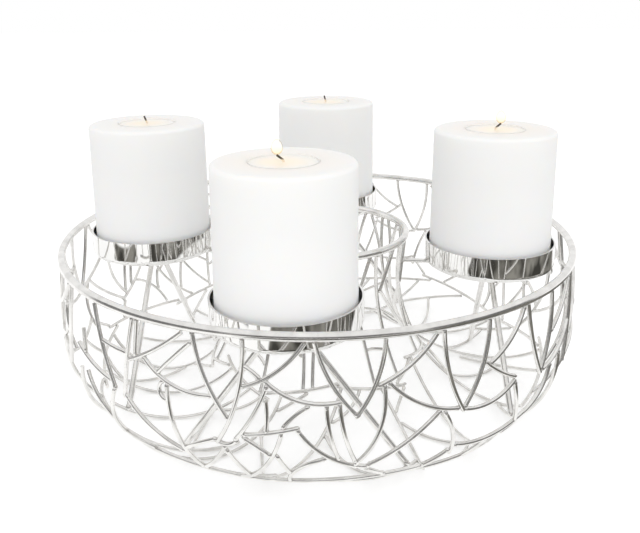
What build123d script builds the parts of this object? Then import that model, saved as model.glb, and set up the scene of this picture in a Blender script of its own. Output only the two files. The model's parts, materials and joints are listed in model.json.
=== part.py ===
"""Advent candle holder: a ring trough of welded wire that carries four pans, pillar candles and tealights.

Millimetres and degrees. The origin is on the table under the middle of the ring, +Z is up, and the
front of the holder faces -Y. The trough is a U in section. Its wires are placed on it by azimuth and
by the share of the way along the U, from 0 at the outer rim through 50 at the floor to 100 at the inner rim.
The candles set the size of the pans, and the pans set the width of the trough.
"""

import math
import os

import numpy as np
from build123d import *

# Candles
CANDLE_RADIUS = 40.3
CANDLE_DRAFT = 0.7
CANDLE_HEIGHT = 91.0
CANDLE_EDGE = 2.4
CANDLE_FOOT = 0.8

# Tealights
CUP_RADIUS = 19.2
CUP_HEIGHT = 14.0
CUP_WALL = 0.4
CUP_CORNER = 1.5
CUP_CLEARANCE = 0.3
CUP_PROUD = 0.2
WAX_DROP = 0.7
WICK = 1.2
WICK_STANDS = 5.4
WICK_BEND = 1.8
SUSTAINER_RADIUS = 6.5
SUSTAINER_PLATE = 0.5
SUSTAINER_NECK = 1.6
SUSTAINER_HEIGHT = 4.0

# Pans and what holds them up
PAN_ROOM = 2.0
PAN_HEIGHT = 16.7
PAN_WALL = 1.2
PAN_CORNER = 4.0
PAN_DROP = 16.5
PAN_OUTSET = 1.9
LEG = 4.0
LEG_REACH = 68.0
LEG_SPREAD = 4.0
STRUT = 3.0
STRUT_START = 12.0

# Basket
INNER_RING_RADIUS = 62.5
TROUGH_ROOM = 9.0
RING_BAR = 5.0
OUTER_RING_BARS = 4
RIM_HEIGHT = 108.5
WALL_BULGE = 2.5
WIRE = 2.5
WIRE_BOW = 1.0
FOOT_FLAT = 0.3
WELD_GAP = 0.05

# Each pan's azimuth, the turn of its legs from the line of the trough, and where and how far its wick leans
PAN_ANGLES = {
    "front": (-98.4, 0.0, 180.0, 52.0),
    "right": (-11.0, 9.5, 0.0, 50.0),
    "back": (86.1, 0.0, 180.0, 15.0),
    "left": (173.6, 0.0, 180.0, 20.0),
}

# The panel of wires goes round the basket three times
TURNS = (0.0, 123.5, 241.0)

# Wires of one panel: azimuth and share of the section at each end, and the bow of the arc in WIRE_BOWs
BASE_CHAIN_ANGLES = (
    (206, 37, 236, 31, 0.0),
    (231, 32, 262, 36.5, 0.0),
    (257, 35.6, 290, 31.5, 0.0),
    (284, 32.3, 317, 37, 0.0),
    (312, 36.2, 334, 33.5, 0.0),
)
INNER_CHAIN_ANGLES = (
    (206, 70, 246, 65, 0.0),
    (238, 66, 284, 70, 0.0),
    (276, 69.2, 318, 65, 0.0),
    (310, 65.9, 334, 69, 0.0),
)
FLOOR_ANGLES = (
    (206, 36.5, 234, 66.5, 5.0),
    (231, 31.8, 252, 66, -4.0),
    (258, 35.5, 283, 70, 5.0),
    (290, 31.5, 303, 67, -4.0),
    (308, 36, 335, 69, 5.0),
    (222, 35, 243, 53, -3.0),
    (243, 66, 225, 58, 2.0),
    (248, 34, 265, 45, 2.0),
    (268, 68.5, 247, 60, -2.0),
    (272, 34, 296, 45, -3.0),
    (292, 68.5, 275, 60, 2.0),
    (301, 33.5, 319, 48, 2.0),
    (318, 65, 298, 57, -2.0),
    (322, 36, 338, 46, 2.0),
    (331, 68, 323, 55, 1.5),
    (234, 45, 224, 58, 1.5),
    (257, 41, 247, 59, -2.0),
    (284, 40, 273, 58, 2.0),
    (310, 41, 300, 61, -2.0),
)
OUTER_WALL_ANGLES = (
    (332.5, 0, 328.5, 20, -2.0),
    (281.2, 0, 276.4, 15.2, -3.3),
    (269.2, 0, 277.0, 16.0, 3.7),
    (291.6, 0, 295.6, 17.5, 3.5),
    (279.4, 10, 291.0, 0, 3.4),
    (281.7, 9.6, 295.5, 17.0, 4.3),
    (301.1, 0, 296.2, 17.0, -3.5),
    (294.2, 16.9, 307.8, 15.2, 5.3),
    (311.4, 0, 316.2, 17.0, 2.8),
    (302.2, 9.6, 316.6, 16.8, 5.3),
    (299.4, 10.6, 310.6, 0, 4.6),
    (320.4, 0, 316.2, 16.8, -3.9),
    (316.2, 16.4, 331.5, 9.4, 6.5),
    (319.4, 9.8, 331.8, 0, 2.3),
    (257.4, 0, 252.6, 21.8, -5.2),
    (257.0, 10.1, 268.4, 0, 4.3),
    (261.2, 8.6, 274.0, 12.2, 5.0),
    (248.4, 0, 255.0, 17.2, 3.3),
    (235.8, 0, 233.0, 17.5, 0.5),
    (224.0, 0, 230.3, 16.8, 1.0),
    (206.5, 14.5, 222.8, 0, 6.0),
    (234.3, 9.8, 247.8, 0, 1.7),
    (238.3, 8.0, 252.0, 12.6, 5.1),
    (229.0, 16.9, 243.2, 12.0, 4.3),
    (243.1, 12.0, 247.5, 33.0, 2.0),
    (261.2, 9.5, 256.0, 20.5, -1.9),
    (256.6, 19.6, 266.4, 17.4, 0.6),
    (266.3, 17.4, 278.5, 27.5, 4.9),
    (279.0, 24.0, 291.4, 16.0, 3.9),
    (281.1, 10.0, 276.4, 25.5, -4.7),
    (271.3, 12.5, 274.2, 26.5, 2.2),
    (273.4, 12.3, 277.6, 28.5, 2.5),
    (291.3, 16.4, 294.8, 28.5, -2.8),
    (287.0, 33.0, 300.6, 18.2, 3.6),
    (295.4, 25.6, 313.5, 25.4, 6.5),
    (307.7, 15.3, 314.0, 33.0, 2.2),
    (313.0, 30.0, 320.5, 16.2, 0.0),
    (277.2, 26.6, 285.0, 34.5, 0.5),
    (263.8, 30.5, 272.2, 24.0, -2.6),
    (263.9, 18.0, 254.0, 34.0, -5.9),
    (263.0, 23.4, 266.5, 36.5, -0.5),
    (256.9, 20.0, 263.0, 26.0, -1.7),
    (253.6, 23.6, 257.0, 20.0, 0.0),
    (247.5, 33.0, 254.2, 23.0, 0.0),
    (254.0, 23.2, 258.5, 36.0, 0.5),
    (245.0, 26.0, 253.0, 21.0, -0.8),
    (206.0, 19.0, 230.2, 16.0, 0.5),
    (231.8, 16.8, 245.5, 27.5, 1.0),
    (234.0, 10.5, 224.0, 33.0, 2.0),
    (220.5, 17.0, 226.5, 28.0, 0.0),
    (217.0, 12.2, 230.2, 15.8, 1.5),
    (236.8, 0, 236.2, 9.2, 0.0),
    (226.3, 7.9, 235.2, 8.2, 0.4),
    (219.6, 8.0, 220.3, 14.5, 0.0),
    (241.8, 9.3, 249.2, 1.9, 0.0),
    (240.0, 15.4, 243.2, 11.6, 0.0),
    (258.9, 5.9, 261.4, 9.9, 0.0),
    (260.9, 10.5, 261.1, 19.6, -1.5),
    (263.6, 18.4, 269.4, 12.4, -1.8),
    (212.0, 36.0, 217.5, 17.5, 2.0),
    (324.5, 35.0, 325.0, 12.0, -2.0),
    (301.0, 34.0, 304.0, 26.5, 0.5),
)
INNER_WALL_ANGLES = (
    (211, 100, 222, 68, 3.0),
    (229, 100, 216, 78, -2.5),
    (233, 100, 240, 65, 2.0),
    (251, 100, 235, 80, -3.0),
    (254, 100, 262, 66, 2.5),
    (268, 100, 256, 82, -2.0),
    (273, 100, 267, 66, -2.0),
    (285, 100, 270, 83, -2.5),
    (288, 100, 300, 67, 3.0),
    (304, 100, 293, 80, -2.0),
    (308, 100, 316, 65, 2.5),
    (325, 100, 310, 81, -2.5),
    (222, 75, 240, 72, 2.0),
    (262, 78, 274, 72, 1.5),
    (297, 76, 316, 74, 2.0),
    (238.5, 84.5, 261, 75, 1.5),
    (316.5, 89, 346, 72, 2.0),
)

# How wires find each other: the reach of a weld, the least length of a wire and the steps along one
WELD_REACH_SHARE = 0.03
START_REACH_SHARE = 0.08
SHORTEST_WIRE = 7.0
STEPS = 40
TRIM_STEP = 0.2
STRAIGHT = 0.02
EDGE_POINTS = 16
RIM_SHARES = (0, 100)

OUTER_SECTORS = ("right", "back_right", "back", "back_left", "left", "front_left", "front", "front_right")
INNER_SECTORS = ("right", "back", "left", "front")

# Worked out from the driving dimensions
PAN_RADIUS = CANDLE_RADIUS + PAN_ROOM + PAN_WALL
OUTER_RING_RADIUS = INNER_RING_RADIUS + RING_BAR + 2 * (PAN_RADIUS + TROUGH_ROOM)
MID_RADIUS = (OUTER_RING_RADIUS + INNER_RING_RADIUS) / 2
HALF_WIDTH = (OUTER_RING_RADIUS - INNER_RING_RADIUS) / 2 + WALL_BULGE
BEND_HEIGHT = HALF_WIDTH + WIRE / 2 - FOOT_FLAT
RISE = RIM_HEIGHT - BEND_HEIGHT
SECTION = 2 * RISE + math.pi * HALF_WIDTH
WELD_REACH = WELD_REACH_SHARE * OUTER_RING_RADIUS
START_REACH = START_REACH_SHARE * OUTER_RING_RADIUS
PAN_CIRCLE = MID_RADIUS + PAN_OUTSET
PAN_LIFT = RIM_HEIGHT - PAN_DROP
CANDLE_TOP = PAN_LIFT + PAN_WALL + CANDLE_HEIGHT
RECESS_RADIUS = CUP_RADIUS + CUP_CLEARANCE
CUP_FLOOR = CANDLE_TOP + CUP_PROUD - CUP_HEIGHT
WAX_DEPTH = CUP_HEIGHT - CUP_WALL - WAX_DROP


def section_at(share):
    """Radius and height of the trough's section at a share of its length."""
    along = share / 100 * SECTION
    if along <= RISE or along >= SECTION - RISE:
        down = min(along, SECTION - along)
        half = HALF_WIDTH - WALL_BULGE * ((RISE - down) / RISE) ** 2
        side = 1 if along <= RISE else -1
        return MID_RADIUS + side * half, RIM_HEIGHT - down
    turn = (along - RISE) / HALF_WIDTH
    return MID_RADIUS + HALF_WIDTH * math.cos(turn), BEND_HEIGHT - HALF_WIDTH * math.sin(turn)


def on_basket(azimuth, share):
    """The point of the basket at an azimuth and a share of the section."""
    radius, height = section_at(share)
    angle = math.radians(azimuth)
    return np.array((radius * math.cos(angle), radius * math.sin(angle), height))


def place_of(point):
    """Azimuth and share of the section of a point on or near the basket."""
    x, y, z = point
    radius = math.hypot(x, y)
    if z >= BEND_HEIGHT:
        along = RIM_HEIGHT - z if radius > MID_RADIUS else SECTION - RIM_HEIGHT + z
    else:
        along = RISE + HALF_WIDTH * math.atan2(BEND_HEIGHT - z, radius - MID_RADIUS)
    return math.degrees(math.atan2(y, x)), along / SECTION * 100


def bowed_middle(start, end, bow):
    """Middle of a wire between two places, pushed sideways along the wall by its bow."""
    azimuth = (start[0] + end[0]) / 2
    share = (start[1] + end[1]) / 2
    mm_per_degree = math.radians(section_at(share)[0])
    mm_per_share = SECTION / 100
    across = (end[0] - start[0]) * mm_per_degree
    down = (end[1] - start[1]) * mm_per_share
    push = bow * WIRE_BOW / math.hypot(across, down)
    return azimuth - push * down / mm_per_degree, share + push * across / mm_per_share


def curve(first, middle, last):
    """A circular arc through three points, or a line where they are in line."""
    chord = last - first
    off = np.linalg.norm(np.cross(middle - first, chord)) / np.linalg.norm(chord)
    if off < STRAIGHT:
        return Line(tuple(first), tuple(last), mode=Mode.PRIVATE)
    return ThreePointArc(tuple(first), tuple(middle), tuple(last), mode=Mode.PRIVATE)


def along_path(path, count):
    """Points at even steps along a path."""
    return np.array([tuple(path @ (i / count)) for i in range(count + 1)])


class Wire:
    """A round wire through three points, with its radius, its zone and points along its centre line."""

    def __init__(self, first, middle, last, radius, zone):
        path = curve(first, middle, last)
        self.points = along_path(path, STEPS)
        self.ends = (first, self.points[STEPS // 2], last)
        self.radius = radius
        self.zone = zone
        self.span = max(np.linalg.norm(first - self.ends[1]), np.linalg.norm(last - self.ends[1]))

    def point_at(self, share):
        """The point at a share of the way along the centre line."""
        return np.array([np.interp(share * STEPS, range(STEPS + 1), axis) for axis in self.points.T])

    def within(self, middle, reach):
        """Whether any of the wire may lie within a reach of a point."""
        return np.linalg.norm(self.ends[1] - middle) < self.span + reach

    def distances(self, points):
        """Distance of each point from the wire's centre line, and the nearest spot on it."""
        starts = self.points[:-1]
        runs = self.points[1:] - starts
        offsets = points[:, None, :] - starts[None, :, :]
        shares = np.clip((offsets * runs).sum(axis=2) / (runs * runs).sum(axis=1), 0, 1)
        spots = starts + shares[:, :, None] * runs
        gaps = np.linalg.norm(points[:, None, :] - spots, axis=2)
        best = gaps.argmin(axis=1)
        rows = np.arange(len(points))
        return gaps[rows, best], spots[rows, best]

    def bar(self):
        """The solid wire."""
        with BuildPart() as bar:
            with BuildLine() as path:
                add(curve(*self.ends))
            with BuildSketch(Plane(origin=path.line @ 0, z_dir=path.line % 0)):
                Circle(self.radius)
            sweep()
        return bar


class Rim:
    """A ring of round bar, which wires meet as they meet each other."""

    def __init__(self, ring_radius):
        self.ring_radius = ring_radius
        self.radius = RING_BAR / 2

    def within(self, middle, reach):
        """Whether any of the ring may lie within a reach of a point."""
        return self.distances(np.array([middle]))[0][0] < reach

    def distances(self, points):
        """Distance of each point from the ring's centre line, and the nearest spot on it."""
        flat = np.hypot(points[:, 0], points[:, 1])
        gaps = np.hypot(flat - self.ring_radius, points[:, 2] - RIM_HEIGHT)
        spots = points * (self.ring_radius / flat)[:, None]
        spots[:, 2] = RIM_HEIGHT
        return gaps, spots

    def hoop(self):
        """The ring as one closed solid."""
        with BuildPart() as hoop:
            with BuildSketch(Plane.XZ):
                with Locations((self.ring_radius, RIM_HEIGHT)):
                    Circle(self.radius)
            revolve(axis=Axis.Z)
        return hoop.part

    def bars(self, count):
        """The ring as bent bars of equal length, welded end to end."""
        arc = 360 / count - math.degrees(WELD_GAP / self.ring_radius)
        pieces = []
        for index in range(count):
            angle = 2 * math.pi * index / count
            outward = (math.cos(angle), math.sin(angle), 0)
            square_on = (math.sin(angle), -math.cos(angle), 0)
            with BuildPart() as bar:
                with BuildSketch(Plane((0, 0, 0), x_dir=outward, z_dir=square_on)):
                    with Locations((self.ring_radius, RIM_HEIGHT)):
                        Circle(self.radius)
                revolve(axis=Axis.Z, revolution_arc=arc)
            pieces.append(bar.part.solid())
        return pieces


def nearest(point, laid, reach):
    """The spot on a wire that lies nearest to a point, within a reach, or None."""
    best = None
    for other in laid:
        if other.within(point, reach):
            gaps, spots = other.distances(np.array([point]))
            if gaps[0] < reach:
                best, reach = spots[0], gaps[0]
    return best


def crossings(places, others):
    """Where two unrolled wires cross: steps along the one, and steps along the other, from its start."""
    starts, others_starts = places[:-1, None, :], others[None, :-1, :]
    runs, others_runs = np.diff(places, axis=0)[:, None, :], np.diff(others, axis=0)[None, :, :]
    apart = others_starts - starts
    turn = runs[..., 0] * others_runs[..., 1] - runs[..., 1] * others_runs[..., 0]
    turn = np.where(turn == 0, np.inf, turn)
    first = (apart[..., 0] * others_runs[..., 1] - apart[..., 1] * others_runs[..., 0]) / turn
    second = (apart[..., 0] * runs[..., 1] - apart[..., 1] * runs[..., 0]) / turn
    inside = (first >= 0) & (first <= 1) & (second >= 0) & (second <= 1) & np.isfinite(turn)
    return [(i + first[i, j], j + second[i, j]) for i, j in np.argwhere(inside)]


def unrolled(points, around):
    """Places of points, with azimuths kept within half a turn of one azimuth."""
    places = np.array([place_of(point) for point in points])
    places[:, 0] = around + (places[:, 0] - around + 180) % 360 - 180
    return places


def first_met(trial, azimuth, laid):
    """Share along a wire at which it first meets another, and the spot on that other, or None."""
    places = unrolled(trial.points, azimuth)
    stop = None
    for other in laid:
        if not isinstance(other, Wire) or not other.within(trial.ends[1], trial.span):
            continue
        for step, other_step in crossings(places, unrolled(other.points, azimuth)):
            spot = other.point_at(other_step / STEPS)
            far = np.linalg.norm(spot - trial.points[0]) > SHORTEST_WIRE
            if far and (not stop or step / STEPS < stop[0]):
                stop = (step / STEPS, spot)
    return stop


def edges_of(centres, radius):
    """Points round a wire at each point of its centre line, one set for each angle round it."""
    tangents = np.gradient(centres, axis=0)
    tangents /= np.linalg.norm(tangents, axis=1)[:, None]
    least = np.eye(3)[np.abs(tangents).argmin(axis=1)]
    across = np.cross(tangents, least)
    across /= np.linalg.norm(across, axis=1)[:, None]
    upright = np.cross(tangents, across)
    angles = np.linspace(0, 2 * math.pi, EDGE_POINTS, endpoint=False)
    return [centres + radius * (math.cos(angle) * across + math.sin(angle) * upright) for angle in angles]


def trimmed(wire, laid):
    """The longest stretch of a wire that stays clear of the others, so that it butts on what it meets."""
    path = curve(*wire.ends)
    count = max(round(path.length / TRIM_STEP), 2)
    centres = along_path(path, count)
    edges = edges_of(centres, wire.radius)
    clear = np.ones(count + 1, dtype=bool)
    for other in laid:
        limit = other.radius + wire.radius + WELD_GAP
        if not other.within(wire.ends[1], wire.span + limit):
            continue
        close = np.flatnonzero(other.distances(centres)[0] < limit)
        for edge in edges if len(close) else []:
            clear[close] &= other.distances(edge[close])[0] > other.radius + WELD_GAP
    runs = np.split(np.arange(count + 1), np.flatnonzero(~clear))
    best = max((run[clear[run]] for run in runs), key=len)
    if len(best) * TRIM_STEP < SHORTEST_WIRE:
        return None
    return Wire(centres[best[0]], centres[best[len(best) // 2]], centres[best[-1]], wire.radius, wire.zone)


def lay(start, end, bow, laid, zone):
    """Lay a wire on the basket, welded where it starts and stopped by the first wire that it meets."""
    first = on_basket(*start)
    middle = on_basket(*bowed_middle(start, end, bow))
    last = on_basket(*end)
    if start[1] not in RIM_SHARES:
        seat = nearest(first, laid, START_REACH)
        first = first if seat is None else seat
    trial = Wire(first, middle, last, WIRE / 2, zone)
    stop = first_met(trial, start[0], laid)
    if stop:
        middle, last = trial.point_at(stop[0] / 2), stop[1]
    elif end[1] not in RIM_SHARES:
        seat = nearest(last, laid, WELD_REACH)
        last = last if seat is None else seat
    wire = trimmed(Wire(first, middle, last, WIRE / 2, zone), laid)
    if wire:
        laid.append(wire)


def export(pieces, name):
    """Write one node, a piece or a group of separate pieces."""
    node = pieces[0] if len(pieces) == 1 else Compound(children=list(pieces))
    node.label = name
    export_step(node, f"parts/{name}.step")


def level_spot(wire, level):
    """The spot where a wire passes a level, or None."""
    for a, b in zip(wire.points, wire.points[1:]):
        if min(a[2], b[2]) <= level < max(a[2], b[2]):
            return a + (b - a) * (level - a[2]) / (b[2] - a[2])
    return None


def make_pan(center):
    """A pan: a turned sheet cup with a rounded bottom edge."""
    with BuildPart() as pan:
        with BuildSketch(Plane(center)):
            Circle(PAN_RADIUS)
        extrude(amount=PAN_HEIGHT)
        fillet(pan.edges().group_by(Axis.Z)[0], PAN_CORNER)
        offset(amount=-PAN_WALL, openings=pan.faces().sort_by(Axis.Z)[-1])
    return pan


def make_legs(center, turn, laid):
    """The two rods under a pan, which run down to the floor wires along the trough."""
    azimuth = math.atan2(center[1], center[0]) + math.radians(90 + turn)
    forward = np.array((math.cos(azimuth), math.sin(azimuth), 0))
    floor_wires = [wire for wire in laid[len(RIM_SHARES):] if wire.zone == "floor"]
    legs = []
    for side in (forward, -forward):
        reach = center + side * LEG_REACH
        share = place_of((reach[0], reach[1], 0))[1]
        foot = nearest(on_basket(math.degrees(math.atan2(reach[1], reach[0])), share), floor_wires, LEG_REACH)
        top = center + side * LEG_SPREAD
        start = top + (top - foot) * LEG / PAN_LIFT
        rod = trimmed(Wire(start, (start + foot) / 2, foot, LEG / 2, "leg"), laid)
        laid.append(rod)
        leg = rod.bar()
        with leg:
            split(bisect_by=Plane.XY.offset(PAN_LIFT), keep=Keep.BOTTOM)
        legs.append(leg.part.solid())
    return legs


def make_strut(center, laid):
    """The rod under a pan, which runs in to a wire of the inner wall."""
    level = PAN_LIFT - STRUT / 2 - WELD_GAP
    inward = -center / np.linalg.norm(center[:2]) * (1, 1, 0)
    wall = center + inward * (PAN_CIRCLE - INNER_RING_RADIUS)
    inner_wires = [wire for wire in laid[len(RIM_SHARES):] if wire.zone == "inner"]
    spots = [level_spot(wire, level) for wire in inner_wires]
    spots = [spot for spot in spots if spot is not None]
    end = min(spots, key=lambda spot: np.linalg.norm(spot[:2] - wall[:2]))
    start = center + inward * STRUT_START
    start[2] = level
    rod = trimmed(Wire(start, (start + end) / 2, end, STRUT / 2, "strut"), laid)
    return rod.bar()


def make_candle(center):
    """A moulded pillar candle, a little narrower at the top, with a recess there for a tealight."""
    recess_floor = CUP_FLOOR - PAN_LIFT - PAN_WALL
    foot = (center[0], center[1], PAN_LIFT + PAN_WALL)
    with BuildPart() as candle:
        with BuildSketch(Plane(foot, x_dir=(1, 0, 0), z_dir=(0, -1, 0))):
            with BuildLine():
                Polyline(
                    (0, 0),
                    (CANDLE_RADIUS - CANDLE_FOOT, 0),
                    (CANDLE_RADIUS, CANDLE_FOOT),
                    (CANDLE_RADIUS - CANDLE_DRAFT, CANDLE_HEIGHT),
                    (RECESS_RADIUS, CANDLE_HEIGHT),
                    (RECESS_RADIUS, recess_floor),
                    (0, recess_floor),
                    close=True,
                )
            make_face()
        revolve(axis=Axis(foot, (0, 0, 1)))
        fillet(candle.edges().group_by(Axis.Z)[-1].sort_by(SortBy.RADIUS)[-1], CANDLE_EDGE)
    return candle


def make_cup(base):
    """The thin cup of a tealight."""
    with BuildPart() as cup:
        with BuildSketch(base):
            Circle(CUP_RADIUS)
        extrude(amount=CUP_HEIGHT)
        fillet(cup.edges().group_by(Axis.Z)[0], CUP_CORNER)
        offset(amount=-CUP_WALL, openings=cup.faces().sort_by(Axis.Z)[-1])
    return cup


def make_sustainer(base):
    """The plate and neck that hold the wick upright in the wax."""
    with BuildPart() as sustainer:
        with BuildSketch(base.offset(CUP_WALL)):
            Circle(SUSTAINER_RADIUS)
        extrude(amount=SUSTAINER_PLATE)
        with BuildSketch(base.offset(CUP_WALL)):
            Circle(SUSTAINER_NECK)
        extrude(amount=SUSTAINER_HEIGHT)
        with BuildSketch(base.offset(CUP_WALL)):
            Circle(WICK / 2)
        extrude(amount=SUSTAINER_HEIGHT, mode=Mode.SUBTRACT)
    return sustainer


def make_wick(base, lean_azimuth, lean):
    """The wick, upright from the foot of its sustainer through the wax, and then bent over."""
    angle = math.radians(lean_azimuth)
    aside = (math.cos(angle), math.sin(angle), 0)
    upright = Plane(base.origin, x_dir=aside, z_dir=(math.sin(angle), -math.cos(angle), 0))
    wax_top = CUP_WALL + WAX_DEPTH
    with BuildPart() as wick:
        with BuildLine(upright) as path:
            Line((0, CUP_WALL), (0, wax_top))
            bend = JernArc((0, wax_top), (0, 1), WICK_BEND, -lean)
            tip_length = WICK_STANDS - WICK_BEND * math.radians(lean)
            PolarLine(bend @ 1, tip_length, direction=bend % 1)
        with BuildSketch(base.offset(CUP_WALL)):
            Circle(WICK / 2)
        sweep(path=path.line)
    return wick


def make_wax(base, inner_pieces):
    """The wax of a tealight, cast in its cup round the wick and its sustainer."""
    with BuildPart() as wax:
        with BuildSketch(base.offset(CUP_WALL)):
            Circle(CUP_RADIUS - CUP_WALL)
        extrude(amount=WAX_DEPTH)
        fillet(wax.edges().group_by(Axis.Z)[0], CUP_CORNER - CUP_WALL)
        add(inner_pieces, mode=Mode.SUBTRACT)
    return wax


os.makedirs("parts", exist_ok=True)

# Rim rings
laid = [Rim(OUTER_RING_RADIUS), Rim(INNER_RING_RADIUS)]
export(laid[0].bars(OUTER_RING_BARS), "outer_rim_ring")
export([laid[1].hoop()], "inner_rim_ring")

# Lattice of wires, the chains round the foot of each wall first because the others end on them
for zone, panel in (
    ("outer", BASE_CHAIN_ANGLES),
    ("inner", INNER_CHAIN_ANGLES),
    ("floor", FLOOR_ANGLES),
    ("outer", OUTER_WALL_ANGLES),
    ("inner", INNER_WALL_ANGLES),
):
    for azimuth, share, end_azimuth, end_share, bow in panel:
        for turn in TURNS:
            lay((azimuth + turn, share), (end_azimuth + turn, end_share), bow, laid, zone)
wires = laid[len(RIM_SHARES):]
print(len(wires), "wires")

# Wire solids, cut flat where they stand on the table, in groups by the side of the basket
groups = {}
for wire in wires:
    twig = wire.bar()
    if wire.points[:, 2].min() < wire.radius:
        with twig:
            split(bisect_by=Plane.XY, keep=Keep.TOP)
    names = OUTER_SECTORS if wire.zone == "outer" else INNER_SECTORS
    sector = names[round(place_of(wire.ends[1])[0] / 360 * len(names)) % len(names)]
    groups.setdefault(f"{wire.zone}_wires_{sector}", []).append(twig.part.solid())
for name, pieces in groups.items():
    export(pieces, name)

# Pans with what holds them up, and the candles and tealights that they carry
for side, (azimuth, leg_turn, wick_azimuth, wick_lean) in PAN_ANGLES.items():
    angle = math.radians(azimuth)
    center = np.array((PAN_CIRCLE * math.cos(angle), PAN_CIRCLE * math.sin(angle), PAN_LIFT))
    spot = tuple(center)
    base = Plane((center[0], center[1], CUP_FLOOR))
    export([make_pan(spot).part], f"pan_{side}")
    export(make_legs(center, leg_turn, laid), f"pan_legs_{side}")
    export([make_strut(center, laid).part], f"pan_strut_{side}")
    export([make_candle(spot).part], f"pillar_candle_{side}")
    sustainer = make_sustainer(base).part
    wick = make_wick(base, wick_azimuth, wick_lean).part
    export([make_cup(base).part], f"tealight_cup_{side}")
    export([make_wax(base, [sustainer, wick]).part], f"tealight_wax_{side}")
    export([wick], f"tealight_wick_{side}")
    export([sustainer], f"wick_sustainer_{side}")
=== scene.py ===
"""Advent candle holder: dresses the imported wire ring, pans, candles and tealights, and photographs them.

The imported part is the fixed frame, in metres, with the ring's middle on the table at the origin, +Z up
and the front candle towards -Y. This script adds weld beads and flames, gives every piece its finish, and
sets the table, the light and the camera. Lengths are in metres and angles in radians.
"""

from __future__ import annotations

import json
import logging
import math
from dataclasses import dataclass
from enum import Enum

import bmesh
import bpy
from mathutils import Matrix, Vector, noise
from mathutils.kdtree import KDTree

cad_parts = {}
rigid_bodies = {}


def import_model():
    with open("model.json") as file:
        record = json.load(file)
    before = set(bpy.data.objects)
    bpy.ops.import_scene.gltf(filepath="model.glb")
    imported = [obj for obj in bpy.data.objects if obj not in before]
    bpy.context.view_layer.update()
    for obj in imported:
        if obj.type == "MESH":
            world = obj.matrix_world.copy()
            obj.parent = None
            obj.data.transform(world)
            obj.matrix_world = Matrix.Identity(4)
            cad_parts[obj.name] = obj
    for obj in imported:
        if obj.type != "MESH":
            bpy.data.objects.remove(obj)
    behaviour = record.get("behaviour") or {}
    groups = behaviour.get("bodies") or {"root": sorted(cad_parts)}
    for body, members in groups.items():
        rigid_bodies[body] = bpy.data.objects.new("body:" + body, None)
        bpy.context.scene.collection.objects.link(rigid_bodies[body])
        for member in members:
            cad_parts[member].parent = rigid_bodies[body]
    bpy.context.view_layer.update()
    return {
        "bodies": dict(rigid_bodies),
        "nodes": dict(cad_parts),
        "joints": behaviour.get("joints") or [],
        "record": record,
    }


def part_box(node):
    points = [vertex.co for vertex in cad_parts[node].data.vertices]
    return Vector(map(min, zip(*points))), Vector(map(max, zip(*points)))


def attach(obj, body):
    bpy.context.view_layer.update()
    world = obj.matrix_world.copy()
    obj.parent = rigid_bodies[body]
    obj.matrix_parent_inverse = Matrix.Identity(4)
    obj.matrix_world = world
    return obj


LOG = logging.getLogger("candle_holder")

MM = 0.001
MERGE_GAP = 0.001 * MM
IMAGE_WIDTH = 640
IMAGE_HEIGHT = 533
HOLDER_BODY = "holder"

Color = tuple[float, float, float, float]
Point = tuple[float, float, float]
Socket = bpy.types.NodeSocket

WHITE: Color = (1.0, 1.0, 1.0, 1.0)
BLACK: Color = (0.0, 0.0, 0.0, 1.0)


class Side(Enum):
    """Where a candle stands on the ring."""

    FRONT = "front"
    RIGHT = "right"
    BACK = "back"
    LEFT = "left"


LIT_SIDES = (Side.FRONT, Side.RIGHT)


class Slot(Enum):
    """Two of the record's material slots, named for the new pieces; nothing in the script uses them."""

    POLISHED_METAL = "polished_metal"
    TEALIGHT_WAX = "tealight_wax"


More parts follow.
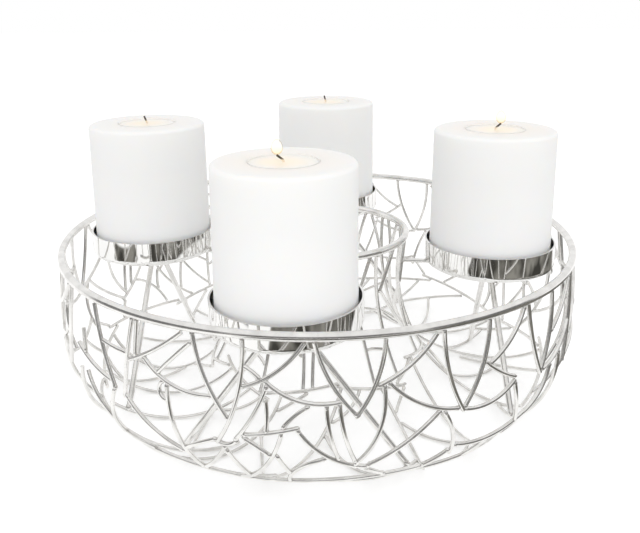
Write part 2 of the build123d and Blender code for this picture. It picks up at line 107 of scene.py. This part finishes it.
class Graph:
    """A material's node tree, built one node at a time."""

    def __init__(self, name: str) -> None:
        """Start an empty node material.

        Args:
            name: The material's name.
        """
        self.material = bpy.data.materials.new(name)
        self.material.use_nodes = True
        self.nodes = self.material.node_tree.nodes
        self.links = self.material.node_tree.links
        self.nodes.clear()
        self.output = self.nodes.new("ShaderNodeOutputMaterial")

    def node(self, kind: str, **inputs: object) -> bpy.types.Node:
        """Add a node and set or link its inputs.

        Args:
            kind: Blender's name of the node type.
            inputs: Socket names with underscores for spaces, each with a value or the socket that feeds it.

        Returns:
            The new node.
        """
        made = self.nodes.new(kind)
        for name, value in inputs.items():
            socket = made.inputs[name.replace("_", " ")]
            if isinstance(value, Socket):
                self.links.new(value, socket)
            else:
                socket.default_value = value
        return made

    def ramp(self, factor: Socket, stops: list[tuple[float, Color]]) -> Socket:
        """Add a colour ramp.

        Args:
            factor: The socket that drives the ramp.
            stops: Positions and colours, from low to high.

        Returns:
            The ramp's colour socket.
        """
        made = self.node("ShaderNodeValToRGB", Fac=factor)
        elements = made.color_ramp.elements
        while len(elements) < len(stops):
            elements.new(1.0)
        for element, (position, color) in zip(elements, stops):
            element.position = position
            element.color = color
        return made.outputs["Color"]

    def map_range(self, value: Socket, **limits: float) -> Socket:
        """Stretch one range of values onto another, held at both ends.

        Args:
            value: The value.
            limits: From_Min, From_Max, To_Min and To_Max, where they aren't 0 and 1.

        Returns:
            The result's socket.
        """
        return self.node("ShaderNodeMapRange", Value=value, **limits).outputs["Result"]

    def math(self, operation: str, first: Socket, second: Socket) -> Socket:
        """Join two values.

        Args:
            operation: Blender's name of the operation.
            first: The first value.
            second: The second value.

        Returns:
            The result's socket.
        """
        made = self.node("ShaderNodeMath")
        made.operation = operation
        self.links.new(first, made.inputs[0])
        self.links.new(second, made.inputs[1])
        return made.outputs[0]

    def object_coordinates(self) -> Socket:
        """The object coordinates, in metres."""
        return self.node("ShaderNodeTexCoord").outputs["Object"]

    def axis(self, name: str) -> Socket:
        """One of the object coordinates, X, Y or Z."""
        return self.node("ShaderNodeSeparateXYZ", Vector=self.object_coordinates()).outputs[name]

    def rise(self, foot: float, tip: float) -> Socket:
        """How far up a point lies, from 0 at the level of the foot to 1 at that of the tip."""
        return self.map_range(self.axis("Z"), From_Min=foot, From_Max=tip)

    def distance(self, center: Vector) -> Socket:
        """How far a point lies from a place.

        Args:
            center: The place.

        Returns:
            The distance socket, in metres.
        """
        offset = self.node("ShaderNodeMapping", Vector=self.object_coordinates(), Location=-center)
        length = self.node("ShaderNodeVectorMath")
        length.operation = "LENGTH"
        self.links.new(offset.outputs["Vector"], length.inputs[0])
        return length.outputs["Value"]

    def noise(self, scale: float, detail: float = 3.0) -> Socket:
        """Add a noise texture.

        Args:
            scale: Grains per metre.
            detail: Octaves of finer noise.

        Returns:
            The factor socket.
        """
        place = self.object_coordinates()
        return self.node("ShaderNodeTexNoise", Vector=place, Scale=scale, Detail=detail).outputs["Fac"]

    def bumps(self, height: Socket, depth: float, strength: float) -> Socket:
        """Roughen the surface with fine bumps.

        Args:
            height: The height socket.
            depth: Depth of the bumps in metres.
            strength: Share of the full effect.

        Returns:
            The normal socket.
        """
        made = self.node("ShaderNodeBump", Height=height, Distance=depth, Strength=strength)
        return made.outputs["Normal"]

    def surface(self, shader: bpy.types.Node) -> bpy.types.Material:
        """Connect a shader to the output and return the finished material."""
        self.links.new(shader.outputs[0], self.output.inputs["Surface"])
        return self.material

    def principled(self, **inputs: object) -> bpy.types.Material:
        """Finish the material with a principled shader that has these inputs."""
        return self.surface(self.node("ShaderNodeBsdfPrincipled", **inputs))


@dataclass(frozen=True)
class PolishedMetal:
    """Bright plated metal, with faint haze and ripples left by the polishing wheel."""

    name: str
    bright: Color
    dull: Color
    smooth: float
    hazy: float
    clouds: float = 90.0
    dull_below: float = 0.35
    bright_above: float = 0.65
    ripples_per_cloud: float = 6.0
    ripple_depth: float = 0.02 * MM
    ripple_strength: float = 0.3

    def build(self) -> bpy.types.Material:
        """Make the material.

        Returns:
            The finished material.
        """
        graph = Graph(self.name)
        cloud = graph.noise(self.clouds)
        ripple = graph.noise(self.clouds * self.ripples_per_cloud)
        return graph.principled(
            Base_Color=graph.ramp(cloud, [(self.dull_below, self.dull), (self.bright_above, self.bright)]),
            Roughness=graph.map_range(cloud, To_Min=self.smooth, To_Max=self.hazy),
            Normal=graph.bumps(ripple, self.ripple_depth, self.ripple_strength),
            Metallic=1.0,
        )


WIRE_POLISH = PolishedMetal(
    name="polished_wire",
    bright=(0.86, 0.85, 0.83, 1.0),
    dull=(0.72, 0.71, 0.69, 1.0),
    smooth=0.14,
    hazy=0.24,
)
PAN_POLISH = PolishedMetal(
    name="mirror_sheet",
    bright=(0.82, 0.815, 0.8, 1.0),
    dull=(0.76, 0.755, 0.74, 1.0),
    smooth=0.02,
    hazy=0.05,
    clouds=30.0,
)


@dataclass(frozen=True)
class CandleWax:
    """Smooth white wax that light sinks into, with a painted warm glow from the tealight's flame round its
    tealight and painted bounce light that pales its foot.
    """

    wick_foot: Vector
    glow: float
    white: Color = (0.89, 0.89, 0.88, 1.0)
    # Painted glow from the tealight's flame, full within warm_within and gone beyond white_beyond.
    painted_glow: Color = (0.95, 0.89, 0.835, 1.0)
    # Painted light: the foot is paler, standing in for light thrown up from the white table.
    painted_foot_light: Color = (0.97, 0.97, 0.965, 1.0)
    warm_within: float = 20 * MM
    white_beyond: float = 40 * MM
    foot_depth: float = 91 * MM
    white_above: float = 0.7
    grain: float = 260.0
    grain_detail: float = 5.0
    grain_depth: float = 0.05 * MM
    grain_strength: float = 0.25
    roughness: float = 0.55
    gloss: float = 0.25
    scatter_share: float = 0.5
    scatter_radii: Point = (1.0, 0.85, 0.7)
    scatter_depth: float = 6 * MM

    def build(self) -> bpy.types.Material:
        """Make the material.

        Returns:
            The finished material.
        """
        graph = Graph("candle_wax")
        # Painted glow: the wax near the tealight is tinted warm as if lit by its flame, more strongly on
        # lit candles.
        tint = tuple(plain + (painted_glow - plain) * self.glow for plain, painted_glow in zip(self.white, self.painted_glow))
        rise = graph.rise(self.wick_foot.z - self.foot_depth, self.wick_foot.z)
        # Painted bounce light: the wax pales from the white middle down to the foot.
        body = graph.ramp(rise, [(0.0, self.painted_foot_light), (self.white_above, self.white)])
        distance = graph.distance(self.wick_foot)
        away = graph.map_range(distance, From_Min=self.warm_within, From_Max=self.white_beyond)
        color = graph.node("ShaderNodeMixRGB", Fac=away, Color1=tint, Color2=body)
        speckle = graph.noise(self.grain, self.grain_detail)
        return graph.principled(
            Base_Color=color.outputs["Color"],
            Roughness=self.roughness,
            Specular_IOR_Level=self.gloss,
            Normal=graph.bumps(speckle, self.grain_depth, self.grain_strength),
            Subsurface_Weight=self.scatter_share,
            Subsurface_Radius=self.scatter_radii,
            Subsurface_Scale=self.scatter_depth,
        )


@dataclass(frozen=True)
class TealightWax:
    """The tealight's own wax, with a painted glow round its wick: warm colour and a faint emission that
    stand in for the flame's light.
    """

    wick_foot: Vector
    glow: float
    white: Color = (0.94, 0.9, 0.85, 1.0)
    painted_glow: Color = (0.97, 0.84, 0.69, 1.0)
    reach: float = 19 * MM
    warm_within: float = 0.3
    dark_beyond: float = 0.8
    grain: float = 300.0
    grain_depth: float = 0.05 * MM
    grain_strength: float = 0.3
    roughness: float = 0.3
    scatter_share: float = 0.5
    scatter_radii: Point = (1.0, 0.8, 0.6)
    scatter_depth: float = 4 * MM

    def build(self) -> bpy.types.Material:
        """Make the material.

        Returns:
            The finished material.
        """
        graph = Graph("tealight_wax")
        away = graph.map_range(graph.distance(self.wick_foot), From_Max=self.reach)
        speckle = graph.noise(self.grain)
        return graph.principled(
            # Painted glow: warm colour near the wick, and emission that fades out by dark_beyond, both
            # standing in for the flame's light.
            Base_Color=graph.ramp(away, [(self.warm_within, self.painted_glow), (1.0, self.white)]),
            Emission_Color=graph.ramp(away, [(0.0, self.painted_glow), (self.dark_beyond, BLACK)]),
            Emission_Strength=self.glow,
            Roughness=self.roughness,
            Normal=graph.bumps(speckle, self.grain_depth, self.grain_strength),
            Subsurface_Weight=self.scatter_share,
            Subsurface_Radius=self.scatter_radii,
            Subsurface_Scale=self.scatter_depth,
        )


@dataclass(frozen=True)
class FoilCup:
    """Thin drawn aluminium, with a film of wax that pales its rim."""

    top: float
    pale: Color = (0.97, 0.95, 0.92, 1.0)
    dark: Color = (0.94, 0.91, 0.87, 1.0)
    grain: float = 700.0
    dark_below: float = 0.3
    pale_above: float = 0.7
    smooth: float = 0.5
    rough: float = 0.6
    film: float = 1.2 * MM

    def build(self) -> bpy.types.Material:
        """Make the material.

        Returns:
            The finished material.
        """
        graph = Graph("tealight_foil")
        speckle = graph.noise(self.grain)
        waxy = graph.rise(self.top - 2 * self.film, self.top - self.film)
        return graph.principled(
            Base_Color=graph.ramp(speckle, [(self.dark_below, self.dark), (self.pale_above, self.pale)]),
            Roughness=graph.map_range(speckle, To_Min=self.smooth, To_Max=self.rough),
            Metallic=graph.map_range(waxy, To_Min=1.0, To_Max=0.0),
        )


@dataclass(frozen=True)
class BurntWick:
    """Cotton that is charred above and pale where it leaves the wax."""

    foot: float
    tip: float
    char: Color = (0.05, 0.042, 0.036, 1.0)
    ash: Color = (0.11, 0.09, 0.075, 1.0)
    cotton: Color = (0.86, 0.74, 0.58, 1.0)
    cotton_below: float = 0.25
    ash_at: float = 0.45
    char_at: float = 0.6
    grain: float = 2500.0
    grain_depth: float = 0.1 * MM
    grain_strength: float = 0.6
    roughness: float = 0.9

    def build(self) -> bpy.types.Material:
        """Make the material.

        Returns:
            The finished material.
        """
        graph = Graph("burnt_wick")
        stops = [
            (self.cotton_below, self.cotton),
            (self.ash_at, self.ash),
            (self.char_at, self.char),
            (1.0, self.ash),
        ]
        return graph.principled(
            Base_Color=graph.ramp(graph.rise(self.foot, self.tip), stops),
            Roughness=self.roughness,
            Normal=graph.bumps(graph.noise(self.grain), self.grain_depth, self.grain_strength),
        )


@dataclass(frozen=True)
class TinPlate:
    """Dull tinned steel of the wick's foot plate."""

    color: Color = (0.62, 0.61, 0.6, 1.0)
    grain: float = 900.0
    smooth: float = 0.3
    rough: float = 0.55

    def build(self) -> bpy.types.Material:
        """Make the material.

        Returns:
            The finished material.
        """
        graph = Graph("tinned_plate")
        roughness = graph.map_range(graph.noise(self.grain), To_Min=self.smooth, To_Max=self.rough)
        return graph.principled(Base_Color=self.color, Roughness=roughness, Metallic=1.0)


@dataclass(frozen=True)
class FlameLight:
    """The bright body of a small flame: cream at the foot and near white above."""

    foot: float
    tip: float
    cream: Color = (1.0, 0.9, 0.74, 1.0)
    pale: Color = (1.0, 0.98, 0.93, 1.0)
    white: Color = (1.0, 0.995, 0.98, 1.0)
    pale_at: float = 0.25
    white_above: float = 0.55
    strength: float = 1.2

    def build(self) -> bpy.types.Material:
        """Make the material.

        Returns:
            The finished material.
        """
        graph = Graph("flame")
        stops = [(0.0, self.cream), (self.pale_at, self.pale), (self.white_above, self.white)]
        color = graph.ramp(graph.rise(self.foot, self.tip), stops)
        return graph.surface(graph.node("ShaderNodeEmission", Color=color, Strength=self.strength))


@dataclass(frozen=True)
class FlameEdge:
    """The thin hot gas round a flame, which tints what is behind it a little."""

    foot: float
    tip: float
    amber: Color = (0.97, 0.88, 0.72, 1.0)
    grey: Color = (0.93, 0.91, 0.85, 1.0)
    amber_below: float = 0.1
    grey_above: float = 0.6

    def build(self) -> bpy.types.Material:
        """Make the material.

        Returns:
            The finished material.
        """
        graph = Graph("flame_edge")
        stops = [(self.amber_below, self.amber), (self.grey_above, self.grey)]
        color = graph.ramp(graph.rise(self.foot, self.tip), stops)
        return graph.surface(graph.node("ShaderNodeBsdfTransparent", Color=color))


def dress(piece: bpy.types.Object, material: bpy.types.Material) -> None:
    """Give a piece one material all over.

    Args:
        piece: The object, whose mesh keeps its shape.
        material: The finish.
    """
    if piece.material_slots:
        for slot in piece.material_slots:
            slot.material = material
    else:
        piece.data.materials.append(material)


def new_object(name: str, mesh: bmesh.types.BMesh) -> bpy.types.Object:
    """Turn a bmesh into a named object in the scene.

    Args:
        name: The object's name.
        mesh: The shape, in the part's frame; it is freed.

    Returns:
        The new object.
    """
    data = bpy.data.meshes.new(name)
    mesh.to_mesh(data)
    mesh.free()
    made = bpy.data.objects.new(name, data)
    bpy.context.scene.collection.objects.link(made)
    return made


def new_piece(name: str, mesh: bmesh.types.BMesh, body: str) -> bpy.types.Object:
    """Turn a bmesh into a smooth, named piece that rides on a body.

    Args:
        name: The piece's name.
        mesh: The shape, in the part's frame; it is freed.
        body: The body that carries the piece.

    Returns:
        The new object.
    """
    piece = new_object(name, mesh)
    for polygon in piece.data.polygons:
        polygon.use_smooth = True
    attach(piece, body)
    LOG.info("made %s with %d faces", name, len(piece.data.polygons))
    return piece


@dataclass
class WireEnd:
    """The cut end of a wire: its middle, the way that it points and its radius."""

    center: Vector
    outward: Vector
    radius: float


@dataclass
class WireRing:
    """The welded ring of wires with its two rim hoops."""

    frame: dict
    metal: bpy.types.Material
    hoops: tuple[str, ...] = ("outer_rim_ring", "inner_rim_ring")
    rods: tuple[str, ...] = ("pan_legs", "pan_strut")
    sharp_angle: float = 0.75
    shortest_loop: int = 6
    weld_reach: float = 1.6
    weld_gap: float = 0.1 * MM
    bead_swell: float = 1.1
    bead_length: float = 1.5
    bead_sink: float = 0.2
    bead_rounding: int = 2
    bead_lumps: float = 0.22
    lump_scale: float = 0.9

    @property
    def wires(self) -> list[str]:
        """The names of the nodes that are wires or rods."""
        return [name for name in self.frame["nodes"] if "_wires_" in name or name.startswith(self.rods)]

    def build(self) -> None:
        """Dress the wires and hoops, and add the weld beads."""
        for name in [*self.wires, *self.hoops]:
            dress(self.frame["nodes"][name], self.metal)
            LOG.info("dressed %s", name)
        ends = [end for name in self.wires for end in self.ends_of(name)]
        mesh = bmesh.new()
        for end in self.welded_ends(ends):
            self.add_bead(mesh, end)
        beads = new_piece("weld_beads", mesh, HOLDER_BODY)
        dress(beads, self.metal)

    def ends_of(self, name: str) -> list[WireEnd]:
        """The cut ends of the wires in one node.

        Args:
            name: The node.

        Returns:
            One entry for each end, found by the sharp edge round it.
        """
        mesh = bmesh.new()
        mesh.from_mesh(self.frame["nodes"][name].data)
        bmesh.ops.remove_doubles(mesh, verts=mesh.verts, dist=MERGE_GAP)
        loops = [loop for loop in self.sharp_loops(mesh) if len(loop) >= self.shortest_loop]
        ends = [self.end_from(loop) for loop in loops]
        mesh.free()
        return ends

    def sharp_loops(self, mesh: bmesh.types.BMesh) -> list[list[bmesh.types.BMVert]]:
        """The loops of sharp edges on a mesh.

        Args:
            mesh: The mesh, with its doubles merged.

        Returns:
            The vertices of each loop.
        """
        around: dict[bmesh.types.BMVert, list[bmesh.types.BMEdge]] = {}
        for edge in mesh.edges:
            if len(edge.link_faces) == 2 and edge.calc_face_angle() > self.sharp_angle:
                for vert in edge.verts:
                    around.setdefault(vert, []).append(edge)
        loops = []
        seen: set[bmesh.types.BMVert] = set()
        for start in around:
            if start in seen:
                continue
            loop = []
            waiting = [start]
            while waiting:
                vert = waiting.pop()
                if vert in seen:
                    continue
                seen.add(vert)
                loop.append(vert)
                waiting += [edge.other_vert(vert) for edge in around[vert]]
            loops.append(loop)
        return loops

    def end_from(self, loop: list[bmesh.types.BMVert]) -> WireEnd:
        """The end whose rim is a loop of vertices.

        Args:
            loop: The vertices round the cut.

        Returns:
            Its middle, outward direction and radius.
        """
        center = sum((vert.co for vert in loop), Vector()) / len(loop)
        radius = sum((vert.co - center).length for vert in loop) / len(loop)
        faces = dict.fromkeys(face for vert in loop for face in vert.link_faces)
        flat = [face for face in faces if all(vert in loop for vert in face.verts)]
        outward = sum((face.normal * face.calc_area() for face in flat), Vector())
        return WireEnd(center, outward.normalized(), radius)

    def welded_ends(self, ends: list[WireEnd]) -> list[WireEnd]:
        """The ends that butt on another piece of metal, without the free stubs.

        Args:
            ends: All the cut ends.

        Returns:
            Those with metal just beyond them.
        """
        points = []
        for name in [*self.wires, *self.hoops, *(f"pan_{side.value}" for side in Side)]:
            points += [vert.co for vert in self.frame["nodes"][name].data.vertices]
        tree = KDTree(len(points))
        for index, point in enumerate(points):
            tree.insert(point, index)
        tree.balance()
        welded = []
        for end in ends:
            near = tree.find_range(end.center + end.outward * end.radius, end.radius * self.weld_reach)
            if any((point - end.center).dot(end.outward) > self.weld_gap for point, _, _ in near):
                welded.append(end)
        return welded

    def add_bead(self, mesh: bmesh.types.BMesh, end: WireEnd) -> None:
        """Add a lumpy weld bead over a wire's end, flattened where it meets the table.

        Args:
            mesh: The mesh that holds the beads.
            end: The wire's end.
        """
        wide = end.radius * self.bead_swell
        size = Matrix.Diagonal((wide, wide, wide * self.bead_length, 1.0))
        turn = end.outward.to_track_quat("Z", "Y").to_matrix().to_4x4()
        place = Matrix.Translation(end.center - end.outward * end.radius * self.bead_sink)
        made = bmesh.ops.create_icosphere(
            mesh, subdivisions=self.bead_rounding, radius=1.0, matrix=place @ turn @ size
        )
        for vert in made["verts"]:
            lump = noise.noise(vert.co / (end.radius * self.lump_scale)) * self.bead_lumps
            vert.co += (vert.co - end.center) * lump
            vert.co.z = max(vert.co.z, 0.0)


@dataclass
class PanSeat:
    """One polished pan with the candle and the tealight that it carries."""

    frame: dict
    side: Side
    metal: bpy.types.Material
    foil: bpy.types.Material
    tin: bpy.types.Material
    lit: bool
    # Strengths of the painted flame glow on the candle and tealight wax, for lit and unlit candles.
    lit_glow: float = 1.0
    unlit_glow: float = 0.5
    wax_glow: float = 0.08
    tip_depth: float = 0.7 * MM
    flame_height: float = 7.6 * MM
    flame_radius: float = 2.85 * MM
    flame_rise: float = 0.4 * MM
    flame_outline: tuple[tuple[float, float], ...] = (
        (0.0, 0.0),
        (0.5, 0.06),
        (0.84, 0.2),
        (1.0, 0.4),
        (0.94, 0.6),
        (0.72, 0.8),
        (0.4, 0.94),
        (0.0, 1.0),
    )
    flame_steps: int = 24
    edge_swell: float = 1.16

    def named(self, kind: str) -> str:
        """The name of this side's node or body of one kind."""
        return f"{kind}_{self.side.value}"

    def node(self, kind: str) -> bpy.types.Object:
        """The CAD node of one kind on this side."""
        return self.frame["nodes"][self.named(kind)]

    def build(self) -> None:
        """Dress the pan, candle and tealight, and light it where it burns."""
        low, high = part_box(self.named("tealight_wick"))
        wax_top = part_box(self.named("tealight_wax"))[1].z
        wick_foot = Vector(((low.x + high.x) / 2, (low.y + high.y) / 2, wax_top))
        glow = self.lit_glow if self.lit else self.unlit_glow
        dress(self.node("pan"), self.metal)
        dress(self.node("pillar_candle"), CandleWax(wick_foot, glow).build())
        dress(self.node("tealight_cup"), self.foil)
        dress(self.node("tealight_wax"), TealightWax(wick_foot, self.wax_glow * glow).build())
        dress(self.node("wick_sustainer"), self.tin)
        dress(self.node("tealight_wick"), BurntWick(wax_top, high.z).build())
        LOG.info("dressed the %s pan, candle and tealight", self.side.value)
        if self.lit:
            self.add_flame(self.wick_tip())

    def wick_tip(self) -> Vector:
        """Find the middle of the wick's highest end.

        Returns:
            Its place.
        """
        points = [vert.co for vert in self.node("tealight_wick").data.vertices]
        top = max(point.z for point in points)
        highest = [point for point in points if point.z > top - self.tip_depth]
        return sum(highest, Vector()) / len(highest)

    def add_flame(self, tip: Vector) -> None:
        """Add a flame over the wick: a bright body in a thin edge of hot gas.

        Args:
            tip: The tip of the wick.
        """
        foot = Vector((tip.x, tip.y, tip.z + self.flame_rise))
        top = foot.z + self.flame_height
        body = self.flame_shell(self.named("flame"), foot, 1.0)
        dress(body, FlameLight(foot.z, top).build())
        edge = self.flame_shell(self.named("flame_edge"), foot, self.edge_swell)
        dress(edge, FlameEdge(foot.z, top).build())

    def flame_shell(self, name: str, foot: Vector, swell: float) -> bpy.types.Object:
        """Turn the flame's outline round its own middle line.

        Args:
            name: The piece's name.
            foot: The lowest point of the flame.
            swell: Size of the shell, as a share of the flame's body.

        Returns:
            The new piece.
        """
        mesh = bmesh.new()
        verts = []
        for wide, high in self.flame_outline:
            across = wide * self.flame_radius * swell
            rise = ((high - 0.5) * swell + 0.5) * self.flame_height
            verts.append(mesh.verts.new((foot.x + across, foot.y, foot.z + rise)))
        edges = [mesh.edges.new(pair) for pair in zip(verts, verts[1:])]
        bmesh.ops.spin(
            mesh,
            geom=verts + edges,
            cent=(foot.x, foot.y, 0),
            axis=(0, 0, 1),
            angle=2 * math.pi,
            steps=self.flame_steps,
            use_merge=True,
        )
        bmesh.ops.remove_doubles(mesh, verts=mesh.verts, dist=MERGE_GAP)
        bmesh.ops.recalc_face_normals(mesh, faces=mesh.faces)
        return new_piece(name, mesh, self.named("tealight"))


@dataclass(frozen=True)
class Mat:
    """A dark oblong on the table, which shows in reflections alone."""

    middle: tuple[float, float]
    half: tuple[float, float]
    turn: float = 0.0

    def inside(self, graph: Graph, edge: float) -> Socket:
        """Where the mat lies.

        Args:
            graph: The table's material.
            edge: Width of its soft edge.

        Returns:
            A socket that is 1 on the mat and 0 beside it.
        """
        place = graph.node(
            "ShaderNodeMapping",
            Vector=graph.object_coordinates(),
            Location=(*self.middle, 0.0),
            Rotation=(0.0, 0.0, self.turn),
        )
        place.vector_type = "TEXTURE"
        spread = graph.node("ShaderNodeVectorMath")
        spread.operation = "ABSOLUTE"
        graph.links.new(place.outputs["Vector"], spread.inputs[0])
        parts = graph.node("ShaderNodeSeparateXYZ", Vector=spread.outputs["Vector"])
        across, along = (
            graph.map_range(parts.outputs[axis], From_Min=half, From_Max=half - edge)
            for axis, half in zip("XY", self.half)
        )
        return graph.math("MULTIPLY", across, along)


@dataclass(frozen=True)
class Table:
    """The white table, whose dark parts show in reflections alone."""

    half: float = 6.0
    white: Color = (0.9, 0.9, 0.9, 1.0)
    fill: float = 0.31
    cloth_middle: Point = (-0.04, 0.03, 0.0)
    cloth_radius: float = 0.27
    front_mat: Mat = Mat((0.245, -0.135), (0.355, 0.285))
    left_mat: Mat = Mat((-0.336, -0.234), (0.13, 0.0375), math.radians(-43.0))
    far_radius: float = 0.58
    ahead_edge: float = 0.05
    soft_edge: float = 0.01
    room_dark: Color = (0.065, 0.062, 0.055, 1.0)
    room_grey: Color = (0.32, 0.31, 0.28, 1.0)
    blotches: float = 9.0
    blotch_detail: float = 2.0
    dark_below: float = 0.42
    grey_above: float = 0.62

    def build(self) -> None:
        """Add the table, which looks white to the camera and keeps the shadow."""
        mesh = bmesh.new()
        bmesh.ops.create_grid(mesh, x_segments=1, y_segments=1, size=self.half)
        table = new_object("table", mesh)
        dress(table, self.material())

    def material(self) -> bpy.types.Material:
        """Make the white cloth, with the dark room in front of it seen in reflections alone.

        Returns:
            The finished material.
        """
        graph = Graph("white_table")
        path = graph.node("ShaderNodeLightPath")
        mirrored = path.outputs["Is Glossy Ray"]
        seen = graph.math("MAXIMUM", path.outputs["Is Camera Ray"], mirrored)
        cloth = graph.node("ShaderNodeBsdfDiffuse", Color=self.white)
        strength = graph.map_range(seen, To_Max=self.fill)
        fill = graph.node("ShaderNodeEmission", Color=WHITE, Strength=strength)
        lit = graph.node("ShaderNodeAddShader")
        graph.links.new(cloth.outputs[0], lit.inputs[0])
        graph.links.new(fill.outputs[0], lit.inputs[1])
        cloud = graph.noise(self.blotches, self.blotch_detail)
        stops = [(self.dark_below, self.room_dark), (self.grey_above, self.room_grey)]
        room = graph.node("ShaderNodeEmission", Color=graph.ramp(cloud, stops))
        dark = graph.math("MULTIPLY", self.dark_parts(graph), mirrored)
        mix = graph.node("ShaderNodeMixShader", Fac=dark)
        graph.links.new(lit.outputs[0], mix.inputs[1])
        graph.links.new(room.outputs[0], mix.inputs[2])
        return graph.surface(mix)

    def dark_parts(self, graph: Graph) -> Socket:
        """Where the dark room shows: two mats beside the white cloth, and the far part of the table ahead.

        Args:
            graph: The table's material.

        Returns:
            A socket that is 1 on the dark parts and 0 on the white ones.
        """
        off_cloth = self.beyond(graph, Vector(self.cloth_middle), self.cloth_radius)
        front = graph.math("MULTIPLY", self.front_mat.inside(graph, self.soft_edge), off_cloth)
        mats = graph.math("MAXIMUM", front, self.left_mat.inside(graph, self.soft_edge))
        far = self.beyond(graph, Vector(), self.far_radius)
        ahead = graph.map_range(graph.axis("Y"), From_Min=self.ahead_edge, From_Max=0.0)
        return graph.math("MAXIMUM", mats, graph.math("MULTIPLY", far, ahead))

    def beyond(self, graph: Graph, middle: Vector, radius: float) -> Socket:
        """A socket that is 0 within a circle on the table and 1 beyond its soft edge."""
        return graph.map_range(graph.distance(middle), From_Min=radius, From_Max=radius + self.soft_edge)


@dataclass(frozen=True)
class Lamp:
    """A square soft lamp that faces the holder and doesn't show in reflections."""

    name: str
    place: Point
    watts: float
    wide: float
    aim: Point = (0.0, 0.0, 0.1)

    def build(self) -> None:
        """Hang the lamp in its place."""
        data = bpy.data.lights.new(self.name, "AREA")
        data.energy = self.watts
        data.size = self.wide
        lamp = bpy.data.objects.new(self.name, data)
        place = Vector(self.place)
        turn = (Vector(self.aim) - place).to_track_quat("-Z", "Y").to_matrix().to_4x4()
        lamp.matrix_world = Matrix.Translation(place) @ turn
        lamp.visible_glossy = False
        bpy.context.scene.collection.objects.link(lamp)


@dataclass(frozen=True)
class Card:
    """A grey card that stands on the table and shows in reflections alone."""

    azimuth: float
    distance: float
    wide: float
    high: float

    def build(self, name: str, material: bpy.types.Material) -> None:
        """Stand the card in its place, facing the holder.

        Args:
            name: The card's name.
            material: Its finish.
        """
        out = Vector((math.cos(self.azimuth), math.sin(self.azimuth), 0.0))
        place = out * self.distance + Vector((0.0, 0.0, self.high / 2))
        turn = Matrix.Rotation(self.azimuth + math.pi / 2, 4, "Z") @ Matrix.Rotation(math.pi / 2, 4, "X")
        size = Matrix.Diagonal((self.wide / 2, self.high / 2, 1.0, 1.0))
        mesh = bmesh.new()
        bmesh.ops.create_grid(mesh, x_segments=1, y_segments=1, size=1.0)
        bmesh.ops.transform(mesh, matrix=Matrix.Translation(place) @ turn @ size, verts=mesh.verts)
        card = new_object(name, mesh)
        card.visible_camera = False
        card.visible_diffuse = False
        card.visible_shadow = False
        card.visible_transmission = False
        dress(card, material)


@dataclass(frozen=True)
class Camera:
    """The camera, at the photograph's place."""

    place: Point = (0.0, -0.4996, 0.2663)
    focal_px: float = 735.9
    axis_row_px: float = 200.0
    pitch: float = math.radians(15.21)
    yaw: float = math.radians(0.25)
    roll: float = math.radians(-0.4)
    sensor_mm: float = 36.0
    clip_start: float = 0.01

    def build(self) -> None:
        """Add the camera and make it the scene's own."""
        data = bpy.data.cameras.new("camera")
        data.sensor_width = self.sensor_mm
        data.lens = self.focal_px / IMAGE_WIDTH * self.sensor_mm
        data.shift_y = (self.axis_row_px - IMAGE_HEIGHT / 2) / IMAGE_WIDTH
        data.clip_start = self.clip_start
        camera = bpy.data.objects.new("camera", data)
        turn = Matrix.Rotation(-self.yaw, 4, "Z") @ Matrix.Rotation(math.pi / 2 - self.pitch, 4, "X")
        place = Matrix.Translation(Vector(self.place))
        camera.matrix_world = place @ turn @ Matrix.Rotation(self.roll, 4, "Z")
        bpy.context.scene.collection.objects.link(camera)
        bpy.context.scene.camera = camera


@dataclass(frozen=True)
class Studio:
    """The table, the soft light, the grey cards and the camera."""

    surround: float = 0.95
    lamps: tuple[Lamp, ...] = (
        Lamp("key", (-0.05, -1.1, 0.9), watts=2.3, wide=1.3),
        Lamp("low_fill", (0.15, -0.9, 0.12), watts=0.6, wide=0.6),
    )
    cards: tuple[Card, ...] = (
        Card(azimuth=math.radians(-90.0), distance=1.2, wide=1.4, high=0.5),
        Card(azimuth=math.radians(-25.0), distance=1.3, wide=1.2, high=0.6),
        Card(azimuth=math.radians(205.0), distance=1.3, wide=1.6, high=0.7),
    )
    card_grey: Color = (0.22, 0.22, 0.22, 1.0)
    card_roughness: float = 0.8

    def build(self) -> None:
        """Set the table, the light and the camera."""
        bpy.context.scene.view_settings.view_transform = "Standard"
        Table().build()
        self.add_world()
        for lamp in self.lamps:
            lamp.build()
        board = Graph("grey_card").principled(Base_Color=self.card_grey, Roughness=self.card_roughness)
        for index, card in enumerate(self.cards):
            card.build(f"card_{index}", board)
        Camera().build()

    def add_world(self) -> None:
        """Light everything softly and evenly from all round, with white beyond the table."""
        world = bpy.data.worlds.new("studio")
        bpy.context.scene.world = world
        world.use_nodes = True
        nodes, links = world.node_tree.nodes, world.node_tree.links
        path = nodes.new("ShaderNodeLightPath")
        seen = nodes.new("ShaderNodeMath")
        seen.operation = "MAXIMUM"
        links.new(path.outputs["Is Camera Ray"], seen.inputs[0])
        links.new(path.outputs["Is Glossy Ray"], seen.inputs[1])
        strength = nodes.new("ShaderNodeMapRange")
        strength.inputs["To Min"].default_value = self.surround
        links.new(seen.outputs[0], strength.inputs["Value"])
        background = nodes["Background"]
        background.inputs["Color"].default_value = WHITE
        links.new(strength.outputs["Result"], background.inputs["Strength"])


def main() -> None:
    """Build every sub-assembly in order."""
    logging.basicConfig(level=logging.INFO, format="%(message)s")
    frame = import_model()
    wire = WIRE_POLISH.build()
    sheet = PAN_POLISH.build()
    foil = FoilCup(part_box(f"tealight_cup_{Side.FRONT.value}")[1].z).build()
    tin = TinPlate().build()
    WireRing(frame, wire).build()
    for side in Side:
        PanSeat(frame, side, sheet, foil, tin, lit=side in LIT_SIDES).build()
    Studio().build()


if __name__ == "__main__":
    main()
